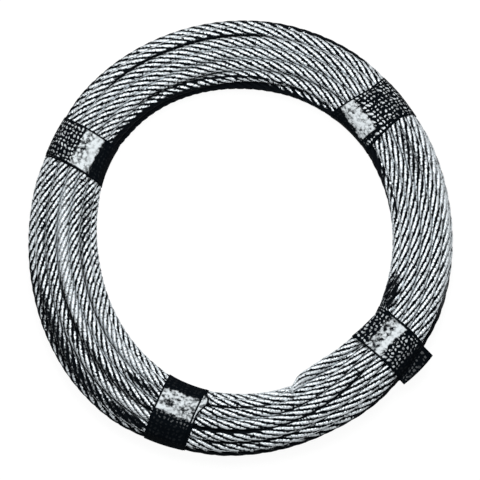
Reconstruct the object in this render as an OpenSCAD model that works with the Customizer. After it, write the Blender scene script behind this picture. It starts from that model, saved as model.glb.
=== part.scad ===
// Coil of wire rope, lying flat and tied at four places with cloth tape.
// The rope's turns lie round a core of inner turns as one rounded bundle.
// Origin: on the floor, under the middle of the coil's eye. +Z is up.

/* [Rope] */
// Diameter of the rope
rope_d = 7; // [5.5:0.5:9]
// How far neighbouring turns bed into each other
nest = 0.1; // [0.05:0.05:0.4]

/* [Coil] */
// Diameter of the coil's clear eye
eye_d = 190; // [140:1:300]
// Turns that show round the bundle's section
turns_round = 13; // [9:2:17]
// Height of the bundle's section for a width of 1
flatness = 0.84; // [0.7:0.02:1]

/* [Rope end] */
// Gap between the edge of the tabbed tie and the start of the free end
end_gap = 1.5; // [1:0.5:6]
// Length of the free end outside its turn, tip included
end_l = 52; // [36:1:60]
// Bend radius of the free end, which turns its hollow side to the bundle
end_bow_r = 115; // [90:1:200]
// Length of the tapered tip
tip_l = 9; // [5:0.5:14]
// Diameter of the tip where it is cut off
tip_d = 4; // [2:0.5:5]

/* [Tape ties] */
// Width of the tape
tape_w = 25; // [15:1:32]
// Thickness of the tape as wound, all its wraps together
tape_t = 0.8; // [0.5:0.1:1.5]
// Clearance between the tape and the crests of the turns
tape_gap = 0.25; // [0.15:0.05:0.4]
// Direction of the first plain tie from the coil's middle
tie_1_at = 150; // [140:1:160]
// Lean of the first plain tie, away from square across the bundle
tie_1_lean = 1.5; // [-12:0.5:12]
// Direction of the second plain tie
tie_2_at = 42.5; // [30:0.5:55]
// Lean of the second plain tie
tie_2_lean = -8.5; // [-12:0.5:12]
// Direction of the third plain tie
tie_3_at = 250; // [240:1:260]
// Lean of the third plain tie
tie_3_lean = -3; // [-12:0.5:12]
// Direction of the tie whose tape ends in a pull tab
tabbed_tie_at = -34.5; // [-38:0.5:-20]
// Lean of the tabbed tie
tabbed_tie_lean = -9.5; // [-12:0.5:12]

/* [Pull tab] */
// Length of the tab beyond the wound tape
tab_l = 6; // [3:0.5:12]
// Thickness of the tab, which is the tape's end folded on itself
tab_t = 0.8; // [0.5:0.1:1.5]
// Droop of the tab below level, in degrees
tab_droop = 25; // [0:1:45]
// Height of the tab's root above the middle of the bundle
tab_rise = 5; // [0:0.5:8]

/* [Hidden] */

tape_colour = [0.09, 0.09, 0.1];
rope_colour = [0.72, 0.73, 0.74];

// The turns that show lie a pitch apart on an oval, which fixes the oval's size.
pitch = rope_d - nest;
oval_r = turns_round * pitch / 360 * 180 / PI;
oval_a = oval_r * sqrt(2 / (1 + pow(flatness, 2)));
oval_b = oval_a * flatness;
bundle_w = 2 * oval_a + rope_d;
coil_r = eye_d / 2 + bundle_w / 2;
tip_lap = 1;
turn_fn = 24;
sweep_fn = 144;

// A point of the oval, its angle counted from the outer side and up.
function on_oval(u) = [oval_a * cos(u), oval_b * sin(u)];
function speed(u) = norm([oval_a * sin(u), oval_b * cos(u)]) * PI / 180;
function step(u, way) = u + way / speed(u + way / 2 / speed(u));
function walk(u, way, n) = n == 0 ? u : walk(step(u, way), way, n - 1);

// The turns, anticlockwise: two lie level at the bottom and one is at the crest.
pairs = (turns_round - 1) / 2;
first_u = step(-90, pitch / 2);
outer_side = [for (k = [0:pairs - 1]) on_oval(walk(first_u, pitch, k))];
inner_side = [for (k = [pairs - 1:-1:0]) [-outer_side[k].x, outer_side[k].y]];
turn_at = concat(outer_side, [on_oval(90)], inner_side);

// Height of the bundle's middle: the tape under the lowest turns is on the floor.
mid_z = tape_t + tape_gap + rope_d / 2 - turn_at[0].y;

// The taut outline of the tape: straight from turn to turn and round each turn.
function unit(v) = v / norm(v);
function outward(p, q) = unit([q.y - p.y, p.x - q.x]);
function wrap(r) = [
    for (k = [0:turns_round - 1])
        let (before = turn_at[(k + turns_round - 1) % turns_round],
             here = turn_at[k],
             after = turn_at[(k + 1) % turns_round],
             n0 = outward(before, here),
             n1 = outward(here, after))
        for (n = [n0, unit(n0 + n1), n1]) here + r * n
];

// The free end lies in the valley between the two turns at the inner shoulder.
lower = inner_side[pairs - 4];
upper = inner_side[pairs - 5];
function seat(p, q) = (p + q) / 2 + outward(q, p) * sqrt(pow(pitch, 2) - pow(norm(p - q) / 2, 2));
end_seat = seat(lower, upper);

// It bows out into the eye about a centre outside it, from the edge of the tabbed tie on.
bow_centre_r = coil_r + end_seat.x + end_bow_r;
bow_half = end_l / 2 / end_bow_r * 180 / PI;
bow_start = [bow_centre_r - end_bow_r * cos(bow_half), end_bow_r * sin(bow_half)];
tie_edge = tape_w / 2 + end_gap + coil_r * sin(tabbed_tie_lean);
start_at = tabbed_tie_at + tabbed_tie_lean - asin(tie_edge / norm(bow_start));
end_at = start_at - atan2(bow_start.y, bow_start.x);

module bundle_section() {
    polygon(turn_at);
    for (p = turn_at) translate(p) circle(d = rope_d, $fn = turn_fn);
}

module rope_end() {
    bow = 2 * bow_half - tip_l / end_bow_r * 180 / PI;
    rotate([0, 0, end_at])
    translate([bow_centre_r, 0, mid_z + end_seat.y])
    rotate([0, 0, 180 - bow_half]) {
        rotate_extrude(angle = bow, $fn = sweep_fn)
            translate([end_bow_r, 0]) circle(d = rope_d, $fn = turn_fn);
        // The fused tip is a little slimmer than the rope, which it starts inside of.
        rotate([0, 0, bow]) translate([end_bow_r, -tip_lap, 0]) rotate([-90, 0, 0])
            cylinder(h = tip_l + tip_lap, d1 = rope_d - 2 * nest, d2 = tip_d, $fn = turn_fn);
    }
}

module rope_coil() {
    color(rope_colour) {
        rotate_extrude($fn = sweep_fn) translate([coil_r, mid_z]) bundle_section();
        rope_end();
    }
}

module sleeve(r) {
    rotate_extrude($fn = sweep_fn) translate([coil_r, mid_z]) polygon(wrap(r));
}

// Puts a piece at the middle of a tie, its X across the bundle and outwards.
module at_tie(at, lean) {
    rotate([0, 0, at]) translate([coil_r, 0, mid_z]) rotate([0, 0, lean]) children();
}

module wound_tape(at, lean) {
    intersection() {
        at_tie(at, lean) cube([2 * bundle_w, tape_w, 2 * bundle_w], center = true);
        difference() {
            sleeve(rope_d / 2 + tape_gap + tape_t);
            sleeve(rope_d / 2 + tape_gap);
        }
    }
}

module tape_tie(at, lean) {
    color(tape_colour) wound_tape(at, lean);
}

module tape_tie_tabbed() {
    flank = bundle_w / 2 + tape_gap + tape_t;
    root = flank - rope_d;
    reach = flank + tab_l - root;
    color(tape_colour) {
        wound_tape(tabbed_tie_at, tabbed_tie_lean);
        difference() {
            at_tie(tabbed_tie_at, tabbed_tie_lean)
                translate([root, -tape_w / 2, tab_rise + (flank - root) * tan(tab_droop)])
                rotate([0, tab_droop, 0])
                cube([reach / cos(tab_droop), tape_w, tab_t]);
            sleeve(rope_d / 2 + tape_gap);
        }
    }
}

rope_coil();
tape_tie(tie_1_at, tie_1_lean);  // tape_tie_1
tape_tie(tie_2_at, tie_2_lean);  // tape_tie_2
tape_tie(tie_3_at, tie_3_lean);  // tape_tie_3
tape_tie_tabbed();
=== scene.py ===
import math

import bmesh
import bpy
import numpy as np
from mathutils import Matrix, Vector


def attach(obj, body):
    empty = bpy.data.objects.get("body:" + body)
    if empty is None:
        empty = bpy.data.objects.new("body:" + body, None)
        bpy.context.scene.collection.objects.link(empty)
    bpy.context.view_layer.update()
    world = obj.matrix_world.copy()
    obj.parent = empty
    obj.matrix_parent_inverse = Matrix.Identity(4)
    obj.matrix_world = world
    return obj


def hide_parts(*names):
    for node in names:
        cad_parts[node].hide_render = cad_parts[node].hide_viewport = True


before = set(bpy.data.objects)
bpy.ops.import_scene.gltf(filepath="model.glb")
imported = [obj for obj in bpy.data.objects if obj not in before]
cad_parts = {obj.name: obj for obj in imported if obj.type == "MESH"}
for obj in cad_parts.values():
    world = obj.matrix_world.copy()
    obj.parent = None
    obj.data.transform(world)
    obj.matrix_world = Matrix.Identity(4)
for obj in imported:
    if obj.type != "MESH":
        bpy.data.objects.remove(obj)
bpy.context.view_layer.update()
scene = bpy.context.scene
scene.view_settings.view_transform = "Standard"
mm = 0.001  # lengths below are in millimetres, and angles in degrees

print("camera")
camera = {
    "elevation": 79,  # above level, from the near side
    "distance": 6432,
    "lens": 800,
    "aim": (0.3, -1.9, 17.2),
    "farthest": 20,  # in metres
}


def addCamera():
    data = bpy.data.cameras.new("camera")
    data.lens = camera["lens"]
    data.clip_end = camera["farthest"]
    holder = bpy.data.objects.new("camera", data)
    scene.collection.objects.link(holder)
    tilt = math.radians(camera["elevation"])
    back = Vector((0, -math.cos(tilt), math.sin(tilt)))
    holder.location = (Vector(camera["aim"]) + back * camera["distance"]) * mm
    holder.rotation_euler = (math.pi / 2 - tilt, 0, 0)
    scene.camera = holder


addCamera()

print("coil's shape")
# The coil was wound by hand, so it is a little out of round and its bundle swells.
# A wave is (how many times round, size, direction of its peak).
coil = {
    "startAt": -34.5,  # direction of the start and the end, under the tabbed tie
    "coreTurns": 1,
    "innerTurns": 7,
    "outerTurns": 13,
    "middle": 111.55,  # radius of the bundle's middle line
    "middleWaves": [(1, 1.58, 321), (2, 2.62, 89), (3, 0.67, 5), (4, 0.58, 53)],
    "halfWidth": 16.33,  # of the oval that the outer turns lie on
    "widthWaves": [(1, 1.37, 164), (2, 1.21, 49), (3, 0.74, 91), (4, 0.27, 67)],
    "halfHeight": 12.8,
    "plainHalfWidth": 15.5,  # where the bundle is wider than this, it has settled lower
    "settling": 0.45,  # height lost for each millimetre of that
    "leastHalfHeight": 11.6,
    "floorGap": 0.66,  # the tape's thickness, under the lowest turns
    "tiesAt": (151.7, 42.6, 251, -36),
    "waist": 0.9,  # how far the tape pulls the bundle in
    "waistReach": (15, 5),  # from a tie: where the waist begins, and where it is whole
}
# Where the outer turns lie round the section, in turns, at each direction going clockwise.
drift = {
    -34.5: 0.30, -45: 0.34, -60: 0.86, -70: 1.18, -80: 1.40, -90: 1.37, -110: 1.37, -140: 1.15,
    -180: 0.97, -220: 0.72, -249: 0.60, -258: 0.67, -273: 0.82, -288: 1.06, -300: 1.12,
    -315: 1.22, -345: 1.36, -360: 1.35, -394.5: 1.30,
}
# Where two turns part: (direction, half its reach, the turn before the gap, how far in turns).
partings = [(104, 42, 2, 0.1), (112, 24, -1, 0.15), (74, 28, -2, 0.15)]
# The free end leaves the ring of turns: degrees past the start, outward, up.
freeEnd = [
    (-6.5, -11.4, 9.0), (0, -14.3, 8.8), (10.5, -17.6, 8.0), (22.5, -19.3, 7.2),
    (30.5, -18.4, 8.8), (34, -16.2, 11.0), (38, -11.5, 14.6),
]
# How the rope is led from ring to ring.
route = {
    "innerStart": -0.135,  # of the inner turns, in turns of their ring from its crest
    "toInner": (-12, 12),  # before and after the inner turns start
    "toOuter": (-9, 13),  # before and after the outer turns start
    "toFree": (-14, -3),  # before the outer turns end
    "partingCore": 0.55,  # a parting is whole over this part of its reach
    "partingFade": 1.5,  # turns over which a parting's push on the others dies down
    "step": 0.5,  # how finely the route is worked out; the windows count such steps
    "window": 15,
    "driftWindow": 25,
    "wobbleWindow": 25,
    "knotStep": 17,  # a wobble has a knot this often
    "knotsBeyond": 60,
}
rope = {
    "diameter": 7,
    "length": 15,  # in metres, as it was sold
    "strands": 6,
    "laysPerTurn": 100 / 6,  # a whole number of strands, so that all turns are in step
    "layWave": (3.2, 150),  # radians the strands run ahead and behind; the lay is shortest here
    "ringsPerLay": 14,
    "hiddenRingsPerLay": 8,
    "tip": 11,  # length over which the cut end narrows
    "tipScale": 0.45,
    "fullness": 1.09,  # the strands bed into each other
    "seat": 6.3,  # how far the inner turns lie inside the outer ones
    "wobble": 0.03,  # how unevenly the turns lie, in turns
    "wobbleSeed": 3,
    "layWobble": 9,  # how unevenly the strands are laid
    "layWobbleSeed": 8,
    "strandBevel": 2,  # 8 sides
    "heartBevel": 1,  # 6 sides
}
strandSize = rope["diameter"] / 3  # six strands lie round a heart as thick as they are


def ease(low, high, value):
    part = np.clip((value - low) / (high - low), 0, 1)
    return part * part * (3 - 2 * part)


def smoothed(values, width):
    kernel = np.hanning(width + 2)[1:-1]
    padded = np.pad(values, width // 2, mode="edge")
    return np.convolve(padded, kernel / kernel.sum(), mode="valid")


def unit(vectors):
    return vectors / np.linalg.norm(vectors, axis=1)[:, None]


def lengthsAlong(points):
    steps = np.linalg.norm(np.diff(points, axis=0), axis=1)
    return np.concatenate([[0], np.cumsum(steps)])


def halfTurn(angle):
    # The same angle, from -180 to 180.
    return (angle + 180) % 360 - 180


def pastGap(turn, before):
    # How many turns a turn is past a gap between two others, counted the shorter way round.
    half = coil["outerTurns"] / 2
    return (turn - before - 0.5 + half) % coil["outerTurns"] - half


def waves(mean, parts, angle):
    return mean + sum(
        size * np.cos(np.radians(count * (angle - peak))) for count, size, peak in parts
    )


def sectionAt(angle):
    # Middle radius, oval's half width and half height, and height of its middle.
    middle = waves(coil["middle"], coil["middleWaves"], angle)
    halfWidth = waves(coil["halfWidth"], coil["widthWaves"], angle)
    for at in coil["tiesAt"]:
        off = np.abs(halfTurn(angle - at))
        halfWidth = halfWidth - coil["waist"] * ease(*coil["waistReach"], off)
    wide = np.maximum(0, halfWidth - coil["plainHalfWidth"])
    halfHeight = coil["halfHeight"] - coil["settling"] * wide
    halfHeight = np.maximum(halfHeight, coil["leastHalfHeight"])
    height = coil["floorGap"] + rope["diameter"] / 2 + halfHeight
    return middle, halfWidth, halfHeight, height


def onOval(halfWidth, halfHeight, part):
    # A point of the oval, by the part of its length from the crest outwards.
    even = 2 * np.pi * part
    stretch = (halfWidth**2 - halfHeight**2) / (halfWidth**2 + halfHeight**2) / 4
    turn = even - stretch * np.sin(2 * even)
    return halfWidth * np.sin(turn), halfHeight * np.cos(turn)


def driftAt(within):
    # within is how far the rope is past the start of its turn. The line runs on through the
    # turns before and after, so that it is smooth where they meet.
    angles = [coil["startAt"] - angle for angle in drift]
    values = list(drift.values())
    grid = np.arange(-360, 720, route["step"])
    wrapped = np.floor(grid / 360)
    steps = np.interp(grid - 360 * wrapped, angles, values) + wrapped
    return np.interp(within, grid, smoothed(steps, route["driftWindow"]))


def apart(turn, direction):
    # How far the partings push a turn along the oval, and its neighbours ever less.
    shift = np.zeros_like(direction)
    for centre, reach, before, size in partings:
        away = np.abs(halfTurn(direction - centre))
        near = ease(1, route["partingCore"], away / reach)
        off = pastGap(turn, before)
        dying = np.exp((0.5 - np.abs(off)) / route["partingFade"])
        shift += size / 2 * near * np.sign(off) * dying
    return shift


def wobble(travel, size, seed):
    # A slow wandering with no pattern.
    beyond = route["knotsBeyond"]
    knots = np.arange(-beyond, travel.max() + beyond, route["knotStep"])
    values = np.random.default_rng(seed).normal(0, size, len(knots))
    return smoothed(np.interp(travel, knots, values), route["wobbleWindow"])


def windRope():
    core, inner, outer = coil["coreTurns"], coil["innerTurns"], coil["outerTurns"]
    innerFrom, outerFrom = 360 * core, 360 * (core + inner)
    endAt = 360 * (core + inner + outer)
    step = route["step"]
    travel = np.arange(0, endAt + freeEnd[-1][0] + step, step)
    direction = coil["startAt"] - travel
    middle, halfWidth, halfHeight, height = sectionAt(direction)

    innerPart = route["innerStart"] + (travel - innerFrom) / 360 / inner
    innerX, innerZ = onOval(halfWidth - rope["seat"], halfHeight - rope["seat"], innerPart)
    turn = np.floor((travel - outerFrom) / 360)
    turn = np.clip(turn, -1, outer - 1)
    within = travel - outerFrom - 360 * turn
    slot = turn - 1 + driftAt(within) + apart(turn, direction)
    slot += wobble(travel, rope["wobble"], rope["wobbleSeed"])
    outerX, outerZ = onOval(halfWidth, halfHeight, (slot - 1) / outer)
    past = travel - endAt
    at, freeX, freeZ = np.array(freeEnd).T
    freeX, freeZ = np.interp(past, at, freeX), np.interp(past, at, freeZ)

    toInner = ease(*route["toInner"], travel - innerFrom)
    toOuter = ease(*route["toOuter"], travel - outerFrom)
    toFree = ease(*route["toFree"], past)
    x = innerX * toInner * (1 - toOuter) + outerX * toOuter
    z = innerZ * toInner * (1 - toOuter) + outerZ * toOuter
    x, z = x + (freeX - x) * toFree, z + (freeZ - z) * toFree
    x, z = smoothed(x, route["window"]), smoothed(z, route["window"])

    lay = 360 / rope["laysPerTurn"]
    hidden = np.arange(0, outerFrom, lay / rope["hiddenRingsPerLay"])
    shown = np.arange(outerFrom, travel[-1], lay / rope["ringsPerLay"])
    rings = np.concatenate([hidden, shown, travel[-1:]])
    angle = np.radians(coil["startAt"] - rings)
    radius = np.interp(rings, travel, middle + x)
    up = np.interp(rings, travel, height + z)
    line = np.column_stack([radius * np.cos(angle), radius * np.sin(angle), up])
    return rings, line


rings, ropeLine = windRope()
along = lengthsAlong(ropeLine)
print(f"rope: {along[-1] / 1000:.2f} m on {len(rings)} rings")


def strandLine(number):
    # A right-hand helix round the rope's line, with the lays of all turns in step.
    forward = unit(np.gradient(ropeLine, axis=0))
    outward = ropeLine * (1, 1, 0)
    outward = unit(outward - forward * (outward * forward).sum(1)[:, None])
    upward = np.cross(forward, outward)
    steady = np.arange(0, rings[-1], 1.0)  # a degree apart
    change, shortest = rope["layWave"]
    swing = np.sin(np.radians(coil["startAt"] - rings - shortest))
    turn = np.radians(rings * rope["laysPerTurn"] + 360 / rope["strands"] * number)
    uneven = wobble(steady, rope["layWobble"], rope["layWobbleSeed"])
    turn -= change * swing - np.radians(np.interp(rings, steady, uneven))
    side = outward * np.cos(turn)[:, None] + upward * np.sin(turn)[:, None]
    narrow = 1 - (1 - rope["tipScale"]) * ease(along[-1] - rope["tip"], along[-1], along)
    return ropeLine + side * (strandSize * narrow)[:, None], narrow, forward


def makeStrand(name, line, narrow, forward, bevel):
    # A round bar swept along the line; its vertices run ring by ring.
    curve = bpy.data.curves.new(name, "CURVE")
    curve.dimensions = "3D"
    curve.bevel_depth = strandSize / 2 * rope["fullness"] * mm
    curve.bevel_resolution = bevel
    spline = curve.splines.new("POLY")
    spline.points.add(len(line) - 1)
    spline.points.foreach_set("co", np.column_stack([line * mm, np.ones(len(line))]).ravel())
    spline.points.foreach_set("radius", narrow)
    swept = bpy.data.objects.new(name, curve)
    scene.collection.objects.link(swept)
    graph = bpy.context.evaluated_depsgraph_get()
    mesh = bpy.data.meshes.new_from_object(swept.evaluated_get(graph))
    bpy.data.objects.remove(swept)

    sides = len(mesh.vertices) // len(line)
    points = np.empty(3 * len(mesh.vertices))
    mesh.vertices.foreach_get("co", points)
    points = points.reshape(-1, 3) / mm
    ring = np.arange(len(points)) // sides
    away = points - ropeLine[ring]
    away -= forward[ring] * (away * forward[ring]).sum(1)[:, None]
    # Crest is how far out from the rope's middle a point lies; the fused tip counts as all crest.
    crest = np.linalg.norm(away, axis=1) / (rope["diameter"] / 2) / narrow[ring]
    fused = ease(along[-1] - rope["tip"], along[-1], along)[ring]
    addValues(mesh, "crest", np.maximum(crest, fused))
    addValues(mesh, "along", along[ring])
    # Buried turns are painted black, as shade.
    buriedShade = rings[ring] < 360 * (coil["coreTurns"] + coil["innerTurns"])
    darkening, dustAndSheen = grimeAndShadeAt(points)
    gapShadeValues = paintedGapShade(away / narrow[ring][:, None], ring)
    addValues(mesh, "grimeAndShade", np.max([darkening, gapShadeValues, buriedShade], axis=0))
    addValues(mesh, "dustAndSheen", dustAndSheen)

    shape = bmesh.new()
    shape.from_mesh(mesh)
    bmesh.ops.holes_fill(shape, edges=[edge for edge in shape.edges if edge.is_boundary])
    bmesh.ops.recalc_face_normals(shape, faces=shape.faces)
    shape.to_mesh(mesh)
    shape.free()
    return addPiece(name, mesh)


def addPiece(name, mesh):
    mesh.polygons.foreach_set("use_smooth", [True] * len(mesh.polygons))
    piece = bpy.data.objects.new(name, mesh)
    scene.collection.objects.link(piece)
    return piece


def addValues(mesh, name, values):
    layer = mesh.attributes.new(name, "FLOAT", "POINT")
    layer.data.foreach_set("value", values.astype(np.float32))


grimeAndShade = {
    # How far up the eye's wall and the outer rim a band of painted shade reaches, by direction.
    # Heights are in degrees round the section from its middle.
    "wallShadeTops": {
        2: -60, 7: -12, 12: 5, 16: 14, 20: 20, 25: 25, 30: 29, 35: 31, 48: 27, 60: 20, 75: 20,
        90: 23, 100: 27, 120: 32, 130: 35, 138: 38, 147: 38, 156: -60,
    },
    "rimShadeTops": {
        -180: 11, -168: 15, -145: 9, -133: 7, -110: 8, -100: 9, -80: 8, -65: 11, -50: 18,
        -32: 16, -20: 11, -10: 4, -4: -60, 48: -60, 56: 16, 75: 18, 95: 20, 120: 21, 147: 20,
        156: -60, 168: -60, 174: 8,
    },
    "fade": 8,  # the band's top fades out over this much, up and down
    "lean": 11,  # its foot is lower on the near side of the rim and the far side of the eye
    "foot": (-9, -2),  # from the lean: where the band begins and where it is whole
    "under": 0.45,  # how much darker the underside is painted
    "underFrom": (-5, -30),  # where that begins and where it is whole
    "gapCore": 0.7,  # painted shade in a gap is whole over this part of its reach
    "gapFade": 0.17,  # from where it starts to where it is whole
    "lineEnds": 4,  # a line begins and ends over this many degrees
    "lineEdge": (1.6, 0.6),  # where it begins and is whole, in half widths from its middle
    "patchEdge": (1.3, 0.6),  # the same for a patch
}
# Painted shade in a gap between turns: (direction, half its reach, the turn before the gap, how
# much, and how far from its turns' middles it starts, in rope radii).
gapShadeBands = [
    (107, 30, 2, 1, 0.83), (-84, 44, 1, 1, 0.76), (-60, 22, 0, 0.9, 0.8), (-87, 16, 2, 1, 0.78),
    (-91, 13, -1, 0.9, 0.78), (-156, 12, 1, 0.6, 0.7), (-95, 13, 1, 1, 0.64),
    (-60, 24, 2, 0.6, 0.8),
]
# Painted shade lines across the turns, standing in for shaded gaps: (outwards from the middle by
# direction, half width, how much).
shadeLines = [
    ({52: -16.6, 60: -16.5, 75: -16.2, 85: -15.6}, 0.35, 1),
    ({80: -15.9, 85: -15.6, 98: -15, 107: -13.6, 116: -12.8}, 0.65, 1),
    ({105: -13.8, 115: -12.7, 125: -11.4, 131: -10.8}, 0.4, 0.8),
    ({53: -10.2, 65: -9.8, 75: -9.2, 85: -8, 95: -6.4, 105: -4.8, 115: -3, 126: -1.5}, 0.4, 0.5),
    ({3: -15, 14: -14.4, 22: -15.2, 30: -15.8}, 0.5, 0.8),
]
# Patches: (direction, half its reach, from the middle outwards, half width, how much). The dark
# patch at -146 on the outer flank is painted shade.
darkPatches = [
    (-22, 9, -14, 5, 0.6), (-122, 9, 16, 3, 0.65), (-146, 26, 17, 4, 0.56), (-134, 24, 5, 3, 0.5),
    (-123, 8, -4.5, 2, 0.6), (-186, 13, -14, 4, 0.42), (-38, 9, 16, 4, 0.5), (25, 11, 3.5, 4, 0.45),
    (-189, 26, -11, 5, 0.28), (-176, 24, 10, 4.5, 0.28),
]
# Pale patches of dust; the one on the outer rim at 12 is a painted highlight.
dustAndSheenPatches = [
    (12, 28, 17, 4, 0.8), (-172, 26, 0.5, 3, 0.8), (-136, 16, -12, 4, 0.6),
    (-74, 10, -15, 3, 0.7), (-122, 10, 10, 3, 0.4),
]


def paintedLineShade(direction, out):
    # Painted shade lines across the turns.
    amounts = []
    for path, half, most in shadeLines:
        low, high = min(path), max(path)
        offset = np.interp(direction, list(path), list(path.values()))
        ends = ease(low, low + grimeAndShade["lineEnds"], direction)
        ends = ends * ease(high, high - grimeAndShade["lineEnds"], direction)
        amounts.append(most * ends * ease(*grimeAndShade["lineEdge"], np.abs(out - offset) / half))
    return np.max(amounts, axis=0)


def spread(patches, direction, out):
    # How strong the patches are at each point, seen from above.
    lowest = -200  # directions are counted from here, beside a tie
    direction = (direction - lowest) % 360 + lowest
    amounts = [
        most * ease(*grimeAndShade["patchEdge"], np.hypot((direction - at) / reach, (out - offset) / half))
        for at, reach, offset, half, most in patches
    ]
    return np.max(amounts, axis=0)


def grimeAndShadeAt(points):
    # Painted shade on the eye's far wall, the outer rim and the underside, painted shade lines and
    # dark patches; and dust with painted highlights.
    direction = np.degrees(np.arctan2(points[:, 1], points[:, 0]))
    middle, halfWidth, halfHeight, height = sectionAt(direction)
    x = (np.hypot(points[:, 0], points[:, 1]) - middle) / (halfWidth + rope["diameter"] / 2)
    z = (points[:, 2] - height) / (halfHeight + rope["diameter"] / 2)
    up = np.degrees(np.arctan2(z, np.abs(x)))
    wall, rim = (
        np.interp(direction, list(tops), list(tops.values()), period=360)
        for tops in (grimeAndShade["wallShadeTops"], grimeAndShade["rimShadeTops"])
    )
    top = np.where(x < 0, wall, rim)
    darkening = ease(top + grimeAndShade["fade"], top - grimeAndShade["fade"], up)
    lean = grimeAndShade["lean"] * np.sin(np.radians(direction)) * np.where(x < 0, -1, 1)
    foot, whole = grimeAndShade["foot"]
    darkening *= ease(lean + foot, lean + whole, up)
    darkening = np.maximum(darkening, grimeAndShade["under"] * ease(*grimeAndShade["underFrom"], up))
    out = np.hypot(points[:, 0], points[:, 1]) - middle
    upper = z > 0
    marks = np.maximum(spread(darkPatches, direction, out), paintedLineShade(direction, out)) * upper
    return np.maximum(darkening, marks), spread(dustAndSheenPatches, direction, out) * upper


def paintedGapShade(away, ring):
    # Painted shade along the gaps between turns.
    # away is where a point lies from the middle of its rope.
    direction = np.degrees(np.arctan2(ropeLine[:, 1], ropeLine[:, 0]))
    middle, halfWidth, halfHeight, height = sectionAt(direction)
    x = (np.hypot(ropeLine[:, 0], ropeLine[:, 1]) - middle) / halfWidth**2
    z = (ropeLine[:, 2] - height) / halfHeight**2
    size = np.hypot(x, z)
    outward = ropeLine[:, :2] / np.hypot(ropeLine[:, 0], ropeLine[:, 1])[:, None]
    onward = np.column_stack([outward * (z / size)[:, None], -x / size])
    side = (away * onward[ring]).sum(1) / (rope["diameter"] / 2)
    turn = np.floor(rings / 360 - coil["coreTurns"] - coil["innerTurns"])
    darkening = np.zeros(len(away))
    for centre, reach, before, amount, start in gapShadeBands:
        near = ease(1, grimeAndShade["gapCore"], np.abs(halfTurn(direction - centre)) / reach)
        off = pastGap(turn, before)
        near = near * (np.abs(off) < 1) * (turn < coil["outerTurns"])
        down = ease(start, start + grimeAndShade["gapFade"], -side * np.sign(off[ring]))
        darkening = np.maximum(darkening, amount * near[ring] * down)
    return darkening


print("strands")
strands = []
for number in range(rope["strands"]):
    strandPath, narrow, forward = strandLine(number)
    name = f"rope_strand_{number + 1}"
    strands.append(makeStrand(name, strandPath, narrow, forward, rope["strandBevel"]))
heart = makeStrand("rope_heart", ropeLine, narrow, forward, rope["heartBevel"])
for piece in strands + [heart]:
    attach(piece, "root")
    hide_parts("rope_coil")

print("rope's finish")
wire = {
    "zinc": (0.865, 0.93, 0.97, 1),
    # black grease, also used as painted shade
    "greaseAndShade": (0.0025, 0.004, 0.006, 1),
    "roughness": (0.7, 0.36),  # of grease and of zinc
    "metal": 0.45,
    "gloss": 0.04,
    "wires": 9,
    "wireTurns": 55,  # turns of a wire round its strand, in each metre
    "wireBump": 0.25,
    "wireBumpStrength": 0.6,
    "blotches": (420, 3),  # scale and detail
    "specks": (900, 2),
    # Zinc shows on the strands' crests, from and wholly at these parts of the rope's radius. Below
    # them the strands are black, partly with grease and partly as painted shade between the
    # strands.
    # The crest counts as higher or lower by the blotches, specks, dust and painted highlights, and
    # by grime and painted shade.
    "clean": (0.914, 0.943),
    "blotchedCrest": (0.3, 0.7, -0.05, 0.03),  # from low to high, and what that becomes
    "speckledCrest": (0.35, 0.65, -0.035, 0.035),
    "dustAndSheenOnCrest": 0.05,
    "grimeAndShadeOnCrest": -0.07,
    "shadeBetweenWires": (0.0, 0.15, 0.7, 1.0),
    "speckled": (0.36, 0.47, 0.5, 1.0),
    "blotchedGrimeAndShade": (0.3, 0.7, -0.15, 0.15),
    "grimeAndShadeHides": (0.35, 0.65, 1.0, 0.0),
    "dustAndSheenShows": (0.35, 0.65, 0.05, 0.6),
}


def newMaterial(name):
    material = bpy.data.materials.new(name)
    material.use_nodes = True
    shader = material.node_tree.nodes["Principled BSDF"]
    return material, material.node_tree, shader


def addNode(tree, kind, inputs=(), **settings):
    # inputs holds (socket, value or another node's output).
    node = tree.nodes.new(kind)
    for name, value in settings.items():
        setattr(node, name, value)
    for socket, value in inputs:
        if isinstance(value, bpy.types.NodeSocket):
            tree.links.new(value, node.inputs[socket])
        else:
            node.inputs[socket].default_value = value
    return node


def calculate(tree, operation, *values):
    inputs = list(enumerate(values))
    return addNode(tree, "ShaderNodeMath", inputs, operation=operation).outputs[0]


def addNoise(tree, place, scale, detail):
    inputs = [("Vector", place), ("Scale", scale), ("Detail", detail)]
    return addNode(tree, "ShaderNodeTexNoise", inputs).outputs["Fac"]


def addBump(tree, height, distance, strength):
    inputs = [("Height", height), ("Distance", distance * mm), ("Strength", strength)]
    return addNode(tree, "ShaderNodeBump", inputs).outputs[0]


def readValue(tree, name):
    return addNode(tree, "ShaderNodeAttribute", attribute_name=name).outputs["Fac"]


def ramp(tree, value, low, high, lowTo=0.0, highTo=1.0):
    inputs = [(0, value), (1, low), (2, high), (3, lowTo), (4, highTo)]
    node = addNode(tree, "ShaderNodeMapRange", inputs, interpolation_type="SMOOTHSTEP")
    return node.outputs[0]


def blend(tree, factor, first, second):
    inputs = [(0, factor), (6, first), (7, second)]
    return addNode(tree, "ShaderNodeMix", inputs, data_type="RGBA").outputs[2]


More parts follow.
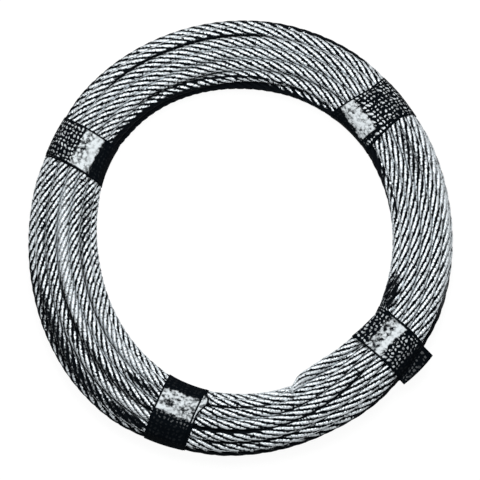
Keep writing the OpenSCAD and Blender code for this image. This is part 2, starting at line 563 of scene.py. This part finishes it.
def galvanisedWire():
    material, tree, shader = newMaterial("galvanised wire")
    coordinates = addNode(tree, "ShaderNodeTexCoord")
    blotches = addNoise(tree, coordinates.outputs["Object"], *wire["blotches"])
    specks = addNoise(tree, coordinates.outputs["Object"], *wire["specks"])
    grimeAndShadeFac, dustAndSheenFac = readValue(tree, "grimeAndShade"), readValue(tree, "dustAndSheen")

    # Wires lie across the strand's own twist, so they run along the rope.
    around = addNode(tree, "ShaderNodeSeparateXYZ", [(0, coordinates.outputs["UV"])]).outputs[1]
    twist = calculate(tree, "MULTIPLY", readValue(tree, "along"), mm * wire["wireTurns"])
    phase = calculate(tree, "MULTIPLY", calculate(tree, "ADD", around, twist), wire["wires"])
    wave = calculate(tree, "PINGPONG", phase, 0.5)

    blotched = ramp(tree, blotches, *wire["blotchedCrest"])
    crest = calculate(tree, "ADD", readValue(tree, "crest"), blotched)
    crest = calculate(tree, "ADD", crest, ramp(tree, specks, *wire["speckledCrest"]))
    crest = calculate(tree, "MULTIPLY_ADD", dustAndSheenFac, wire["dustAndSheenOnCrest"], crest)
    crest = calculate(tree, "MULTIPLY_ADD", grimeAndShadeFac, wire["grimeAndShadeOnCrest"], crest)
    clean = ramp(tree, crest, *wire["clean"])
    # Painted shade in the lines between the wires.
    between = ramp(tree, wave, *wire["shadeBetweenWires"])
    speckled = ramp(tree, specks, *wire["speckled"])
    darkening = calculate(tree, "ADD", grimeAndShadeFac, ramp(tree, blotches, *wire["blotchedGrimeAndShade"]))
    bright = calculate(tree, "MULTIPLY", clean, ramp(tree, darkening, *wire["grimeAndShadeHides"]))
    bright = calculate(tree, "MULTIPLY", bright, calculate(tree, "MULTIPLY", between, speckled))
    # Dust and painted highlights show as pale specks.
    paleSpecks = calculate(tree, "MULTIPLY", dustAndSheenFac, ramp(tree, specks, *wire["dustAndSheenShows"]))
    bright = calculate(tree, "MAXIMUM", bright, paleSpecks)
    for socket, value in (
        ("Base Color", blend(tree, bright, wire["greaseAndShade"], wire["zinc"])),
        ("Metallic", ramp(tree, bright, 0, 1, 0, wire["metal"])),
        ("Roughness", ramp(tree, bright, 0, 1, *wire["roughness"])),
        ("Normal", addBump(tree, wave, wire["wireBump"], wire["wireBumpStrength"])),
    ):
        tree.links.new(value, shader.inputs[socket])
    shader.inputs["Specular IOR Level"].default_value = wire["gloss"]
    return material


ropeFinish = galvanisedWire()
for piece in strands + [heart]:
    piece.data.materials.append(ropeFinish)

print("tape ties")
tape = {
    "thickness": 0.18,
    "layer": 0.2,  # from one wrap to the next
    "slack": 0.03,  # between the first wrap and the turns
    "cell": 1.25,
    "round": 180,  # points of the taut outline round the bundle
    "facing": 2,  # degrees from one direction to the next in which the outline is looked for
    "halfReach": 24,  # outlines are a millimetre apart, this far to each side of a tie's middle
    "turnsWithin": 45,  # the bundle's turns lie this near its middle
    "fold": 0.7,  # half the length of the tab's fold
    "tabFrom": 2,  # the tab's own finish is whole this far out
    "sheenFrom": (-3, 5),  # the painted highlight begins and is whole, up from the bundle's middle
    "bandEdge": (1, 1.5),  # how far a band of painted highlight fades out and in
    "uvScale": 400,
    "pitch": 2.7,  # of the weave
    "plainWeave": 0.012,  # how strongly the weave's painted glints show elsewhere
    "tabWeave": 0.11,
    "edge": (0.8, 1.5),  # painted shade along the tape's edges, this far in
    "black": (0.0025, 0.004, 0.006, 1),
    # pale glints painted on the weave's thread crowns
    "glintDots": (0.84, 0.9, 0.93, 1),
    # the colour of the painted highlight
    "sheenColour": (0.82, 0.88, 0.91, 1),
    "roughness": (0.85, 0.3),  # of black cloth and where the highlight is painted
    "gloss": 0.02,
    "bump": 0.2,
    "bumpStrength": 0.5,
    "uneven": (260, 2),  # scale and detail
    "patches": (480, 3),
    "streaks": (120, 3),
    "streakStretch": (1, 0.25, 1),
    "wander": (0.2, 0.8, -2.4, 2.4),  # from low to high, and what that becomes
    "dotPatches": (0.3, 0.7, -0.4, 0.3),
    "dotsShow": (0.35, 0.56),
    "dotsFade": (0.35, 0.6, 0.4, 1),
    # how the painted highlight breaks into patches and streaks
    "sheenPatches": (0.3, 0.7, -0.32, 0.32),
    "sheenStreaks": (0.35, 0.65, -0.2, 0.2),
    "sheenShows": (0.2, 0.95),
    "sheenBegins": (0, 0.2),
    "sheenUneven": (0.35, 0.6, 0.72, 1),
}
# wraps: where the tape starts and ends, in turns from the underside, outer side first.
# slide: how far anticlockwise the tape lies, at each half wrap from its start.
# sway: (wrap, degrees round the section, half its reach, how far anticlockwise).
# swaySheen: how pale a highlight is painted on the swayed part.
# paintedSheen: where a highlight is painted pale, from the inner to the outer side, and how pale.
# sheenAfter: how many wraps lie under the ones with the painted highlight.
# weaveGlints: where glints are painted on the weave's thread crowns, and how strongly.
# firstWeave: the same, all over the first wrap.
# tab, tabSkew, tabDroop: how long the pull tab is, how much longer at one edge and shorter at the
# other, and how far below level it points.
ties = {
    "cloth_tape_1": {
        "node": "tape_tie_1", "lean": 1.5, "width": 25,
        "wraps": (0.1, 3.05), "slide": (-1.6, 0.6, -1.2, 0.8, -3.4, 0.7, 0.7), "sway": [],
        "paintedSheen": [(-11, -4, 1), (-5, 1.5, 0.6)], "weaveGlints": [(-2, 22, 0.9)], "firstWeave": 0,
    },
    "cloth_tape_2": {
        "node": "tape_tie_2", "lean": -7, "width": 25.2,
        "wraps": (0.1, 3.05), "slide": (4.5, -3, 4.5, -3, -5, 2, 4), "sway": [],
        "paintedSheen": [(-17, -7, 0.8)], "sheenAfter": 2, "weaveGlints": [(-16, 19, 1)], "firstWeave": 0,
    },
    "cloth_tape_3": {
        "node": "tape_tie_3", "lean": -3, "width": 24.6,
        "wraps": (0.9, 3.95), "slide": (0, 0, -0.2, 0.3, 0.2, -1.6, 0),
        "sway": [(1, 116, 30, 3.2)], "swaySheen": 0.9,
        "paintedSheen": [(-11, 2, 0.68), (0.5, 3, 1)], "weaveGlints": [(3, 8, 0.16)], "firstWeave": 0,
    },
    "cloth_tape_tabbed": {
        "node": "tape_tie_tabbed", "lean": -6, "width": 24.8,
        "wraps": (-0.1, -2.72), "slide": (0, 0, -1.4, 0.4, -0.3, -0.4, -0.6),
        "sway": [(0, 155, 45, 9)],
        "tab": 8, "tabSkew": 2.6, "tabDroop": 28,
        "paintedSheen": [(-10, -2, 0.5), (-3, 1.5, 1)], "weaveGlints": [(-19, -8, 0.7), (-6, 13, 0.8)],
        "firstWeave": 0.6,
    },
}
for tie, at in zip(ties.values(), coil["tiesAt"]):
    tie["at"] = at


def tieFrame(tie):
    # The tie's middle on the bundle's middle line, and its directions across and along it.
    at, turn = math.radians(tie["at"]), math.radians(tie["at"] + tie["lean"])
    middle = sectionAt(np.float64(tie["at"]))[0]
    centre = np.array([math.cos(at), math.sin(at)]) * middle
    across = np.array([math.cos(turn), math.sin(turn)])
    alongRing = np.array([-math.sin(turn), math.cos(turn)])
    return centre, across, alongRing


def tautOutline(turns, reach):
    # The line of a tape pulled tight round the turns, from the middle of its underside.
    facing = np.radians(np.arange(-90, 270, tape["facing"]))
    facing = np.column_stack([np.cos(facing), np.sin(facing)])
    outline = turns[np.argmax(turns @ facing.T, axis=0)] + reach * facing
    closed = np.vstack([outline, outline[:1]])
    run = lengthsAlong(closed)
    low = closed[:, 1] < turns[:, 1].mean()
    first = np.where(low[:-1] & (closed[:-1, 0] < 0) & (closed[1:, 0] >= 0))[0][0]
    part = -closed[first, 0] / (closed[first + 1, 0] - closed[first, 0])
    start = run[first] + part * (run[first + 1] - run[first])
    wanted = (start + np.arange(tape["round"]) / tape["round"] * run[-1]) % run[-1]
    return np.column_stack([np.interp(wanted, run, closed[:, k]) for k in (0, 1)]), run[-1]


def makeTie(name, tie):
    centre, across, alongRing = tieFrame(tie)
    local = ropeLine[:, :2] - centre
    x, y, z = local @ across, local @ alongRing, ropeLine[:, 2]
    near = np.abs(x) < tape["turnsWithin"]
    lines = np.arange(-tape["halfReach"], tape["halfReach"] + 1.0)
    outlines = []
    for line in lines:
        step = np.where((y[:-1] < line) != (y[1:] < line))[0]
        step = step[near[step]]
        part = (line - y[step]) / (y[step + 1] - y[step])
        turns = np.column_stack([
            x[step] + part * (x[step + 1] - x[step]), z[step] + part * (z[step + 1] - z[step])
        ])
        outline, perimeter = tautOutline(turns, rope["diameter"] / 2 + tape["slack"])
        outlines.append(outline)
    outlines = np.array(outlines)
    side = np.roll(outlines, -1, axis=1) - np.roll(outlines, 1, axis=1)
    normals = np.stack([side[..., 1], -side[..., 0]], axis=-1)
    normals /= np.linalg.norm(normals, axis=-1)[..., None]

    start, end = tie["wraps"]
    tab = tie.get("tab", 0)
    wound = abs(end - start) * perimeter
    length = wound + 2 * tab
    shape = bmesh.new()
    uvs = shape.loops.layers.uv.new("UVMap")
    bmesh.ops.create_grid(
        shape,
        x_segments=round(length / tape["cell"]),
        y_segments=round(tie["width"] / tape["cell"]),
        size=1,
    )
    flat = np.array([vertex.co[:] for vertex in shape.verts])
    for face in shape.faces:
        for loop in face.loops:
            u, v = loop.vert.co.x, loop.vert.co.y
            loop[uvs].uv = (
                (u + 1) / 2 * length / tape["uvScale"],
                (v + 1) / 2 * tie["width"] / tape["uvScale"],
            )
    run = (flat[:, 0] + 1) / 2 * length
    wrap = start + (end - start) * np.minimum(run / wound, 1)
    beyond = np.maximum(run - wound, 0)
    if tab:
        beyond *= 1 + tie["tabSkew"] / tab * flat[:, 1]
    count = np.abs(wrap - start)
    facing = np.degrees(2 * np.pi * (wrap % 1)) - 90
    slide = np.interp(count, np.arange(len(tie["slide"])) / 2, tie["slide"])
    swaySheen = np.zeros(len(run))
    for which, at, reach, size in tie["sway"]:
        sway = ease(reach, 0, np.abs(facing - at)) * (np.floor(count) == which)
        slide, swaySheen = slide + size * sway, np.maximum(swaySheen, sway)
    y = flat[:, 1] * tie["width"] / 2 + slide

    # Where each point of the tape lies among the outlines, always short of the last.
    row = np.clip((y - lines[0]) / (lines[1] - lines[0]), 0, len(lines) - 1.001)
    column = (wrap % 1) * tape["round"]
    row0, column0 = row.astype(int), column.astype(int) % tape["round"]
    row1, column1 = row0 + 1, (column0 + 1) % tape["round"]
    rowPart, columnPart = (row - row0)[:, None], (column - np.floor(column))[:, None]

    def between(table):
        first = table[row0, column0] * (1 - columnPart) + table[row0, column1] * columnPart
        second = table[row1, column0] * (1 - columnPart) + table[row1, column1] * columnPart
        return first * (1 - rowPart) + second * rowPart

    section = between(outlines) + between(normals) * (tape["layer"] * count)[:, None]
    if tab:
        # The end runs on straight and is folded back under itself.
        droop = -math.radians(tie["tabDroop"])
        fold = tab + tie["tabSkew"] * flat[:, 1]
        out = np.minimum(beyond, 2 * fold - beyond)
        under = 2 * tape["layer"] * ease(-tape["fold"], tape["fold"], beyond - fold)
        section[:, 0] += out * math.cos(droop) + under * math.sin(droop)
        section[:, 1] += out * math.sin(droop) - under * math.cos(droop)
    level = sectionAt(np.float64(tie["at"]))[3]
    begins, whole = tape["sheenFrom"]
    upper = ease(level + begins, level + whole, section[:, 1])
    before, after = tape["bandEdge"]

    def strongest(bands):
        return np.max([
            most * upper * ease(low - before, low + after, section[:, 0])
            * ease(high + after, high - before, section[:, 0])
            for low, high, most in bands
        ], axis=0)

    onTab = ease(0, tape["tabFrom"], beyond)
    # The pale stripe on top of each tie is a painted highlight.
    paintedSheen = strongest(tie["paintedSheen"]) * (count >= tie.get("sheenAfter", 0))
    paintedSheen = np.maximum(paintedSheen, tie.get("swaySheen", 0) * swaySheen) * (1 - onTab)
    # Glints painted on the weave show here.
    weaveGlints = np.maximum(strongest(tie["weaveGlints"]), tape["plainWeave"] + tape["tabWeave"] * onTab)
    weaveGlints = np.maximum(weaveGlints, tie["firstWeave"] * (count < 1))
    place = centre + section[:, :1] * across + y[:, None] * alongRing
    for vertex, (px, py), height in zip(shape.verts, place, section[:, 1]):
        vertex.co = Vector((px, py, height)) * mm
    bmesh.ops.recalc_face_normals(shape, faces=shape.faces)
    mesh = bpy.data.meshes.new(name)
    shape.to_mesh(mesh)
    shape.free()
    addValues(mesh, "paintedSheen", paintedSheen)
    addValues(mesh, "weaveGlints", weaveGlints)
    addValues(mesh, "inFromEdge", (1 - np.abs(flat[:, 1])) * tie["width"] / 2)
    piece = addPiece(name, mesh)
    cloth = piece.modifiers.new("cloth", "SOLIDIFY")
    cloth.thickness = tape["thickness"] * mm
    cloth.offset = 1
    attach(piece, "root")
    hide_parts(tie["node"])
    print(f"{name}: {length / 1000:.2f} m of tape")
    return piece


def clothTape():
    material, tree, shader = newMaterial("cloth tape")
    coordinates = addNode(tree, "ShaderNodeTexCoord")
    onTape = coordinates.outputs["UV"]
    uneven = addNoise(tree, coordinates.outputs["Object"], *tape["uneven"])
    patches = addNoise(tree, coordinates.outputs["Object"], *tape["patches"])
    # Streaks in the painted highlight run across the tape.
    inputs = [("Vector", onTape), ("Scale", tape["streakStretch"])]
    stretched = addNode(tree, "ShaderNodeMapping", inputs).outputs[0]
    streaks = addNoise(tree, stretched, *tape["streaks"])
    across = addNode(tree, "ShaderNodeSeparateXYZ", [(0, onTape)])
    threads = []
    for axis in (0, 1):
        fineness = tape["uvScale"] / tape["pitch"] * 2 * math.pi
        turns = calculate(tree, "MULTIPLY", across.outputs[axis], fineness)
        turns = calculate(tree, "ADD", turns, ramp(tree, uneven, *tape["wander"]))
        wave = calculate(tree, "COSINE", turns)
        threads.append(calculate(tree, "MULTIPLY_ADD", wave, 0.5, 0.5))
    knot = calculate(tree, "MULTIPLY", *threads)
    shown = calculate(tree, "ADD", knot, ramp(tree, patches, *tape["dotPatches"]))
    # The tape's edges are painted dark, as shade.
    clearOfEdgeShade = ramp(tree, readValue(tree, "inFromEdge"), *tape["edge"])
    faded = calculate(tree, "MULTIPLY", ramp(tree, uneven, *tape["dotsFade"]), clearOfEdgeShade)
    shown = ramp(tree, shown, *tape["dotsShow"])
    # Pale glints painted on the thread crowns.
    glintDots = calculate(tree, "MULTIPLY", shown, readValue(tree, "weaveGlints"))
    glintDots = calculate(tree, "MULTIPLY", glintDots, faded)
    # The painted highlight is pale in patches, not evenly grey.
    paintedSheen = readValue(tree, "paintedSheen")
    patchy = calculate(tree, "ADD", paintedSheen, ramp(tree, patches, *tape["sheenPatches"]))
    patchy = calculate(tree, "ADD", patchy, ramp(tree, streaks, *tape["sheenStreaks"]))
    patchy = ramp(tree, patchy, *tape["sheenShows"])
    patchy = calculate(tree, "MULTIPLY", patchy, ramp(tree, paintedSheen, *tape["sheenBegins"]))
    soft = calculate(tree, "MULTIPLY", patchy, ramp(tree, patches, *tape["sheenUneven"]))
    paintedSheen = calculate(tree, "MULTIPLY", soft, clearOfEdgeShade)
    colour = blend(tree, glintDots, tape["black"], tape["glintDots"])
    for socket, value in (
        ("Base Color", blend(tree, paintedSheen, colour, tape["sheenColour"])),
        ("Roughness", ramp(tree, paintedSheen, 0, 1, *tape["roughness"])),
        ("Normal", addBump(tree, knot, tape["bump"], tape["bumpStrength"])),
    ):
        tree.links.new(value, shader.inputs[socket])
    shader.inputs["Specular IOR Level"].default_value = tape["gloss"]
    return material


tapeFinish = clothTape()
for name, tie in ties.items():
    makeTie(name, tie).data.materials.append(tapeFinish)

print("studio")
studio = {
    "floor": 3000,
    "floorDrop": 0.1,
    "floorColour": (0.12, 0.12, 0.12, 1),
    "floorRoughness": 0.8,
    "floorGlow": 0.93,  # as the camera sees it; it lights nothing
    "lampSize": 420,
    "lampHeight": 700,
    "lampAt": (0, 120),
    "lampPower": 3.55,
    "sky": 0.35,
}


def makeFloor():
    shape = bmesh.new()
    bmesh.ops.create_grid(shape, x_segments=1, y_segments=1, size=studio["floor"] / 2 * mm)
    mesh = bpy.data.meshes.new("floor")
    shape.to_mesh(mesh)
    shape.free()
    floor = bpy.data.objects.new("floor", mesh)
    floor.location.z = -studio["floorDrop"] * mm
    scene.collection.objects.link(floor)
    material, tree, shader = newMaterial("white paper")
    shader.inputs["Base Color"].default_value = studio["floorColour"]
    shader.inputs["Roughness"].default_value = studio["floorRoughness"]
    path = addNode(tree, "ShaderNodeLightPath")
    seen = calculate(tree, "MAXIMUM", path.outputs["Is Camera Ray"], path.outputs["Is Glossy Ray"])
    seen = calculate(tree, "MAXIMUM", seen, path.outputs["Is Transmission Ray"])
    glow = addNode(tree, "ShaderNodeEmission", [("Color", (1, 1, 1, 1))])
    strength = calculate(tree, "MULTIPLY", seen, studio["floorGlow"])
    tree.links.new(strength, glow.inputs["Strength"])
    both = addNode(tree, "ShaderNodeAddShader", [(0, shader.outputs[0]), (1, glow.outputs[0])])
    output = tree.nodes["Material Output"]
    tree.links.new(both.outputs[0], output.inputs["Surface"])
    mesh.materials.append(material)


def lightStudio():
    data = bpy.data.lights.new("softbox", "AREA")
    data.shape = "SQUARE"
    data.size = studio["lampSize"] * mm
    data.energy = studio["lampPower"]
    softbox = bpy.data.objects.new("softbox", data)
    x, y = studio["lampAt"]
    softbox.location = Vector((x, y, studio["lampHeight"])) * mm
    towardsCoil = Vector((0, 0, 0)) - softbox.location
    softbox.rotation_euler = towardsCoil.to_track_quat("-Z", "Y").to_euler()
    scene.collection.objects.link(softbox)
    world = bpy.data.worlds.new("studio")
    world.use_nodes = True
    background = world.node_tree.nodes["Background"]
    background.inputs["Color"].default_value = (1, 1, 1, 1)
    background.inputs["Strength"].default_value = studio["sky"]
    scene.world = world


makeFloor()
lightStudio()
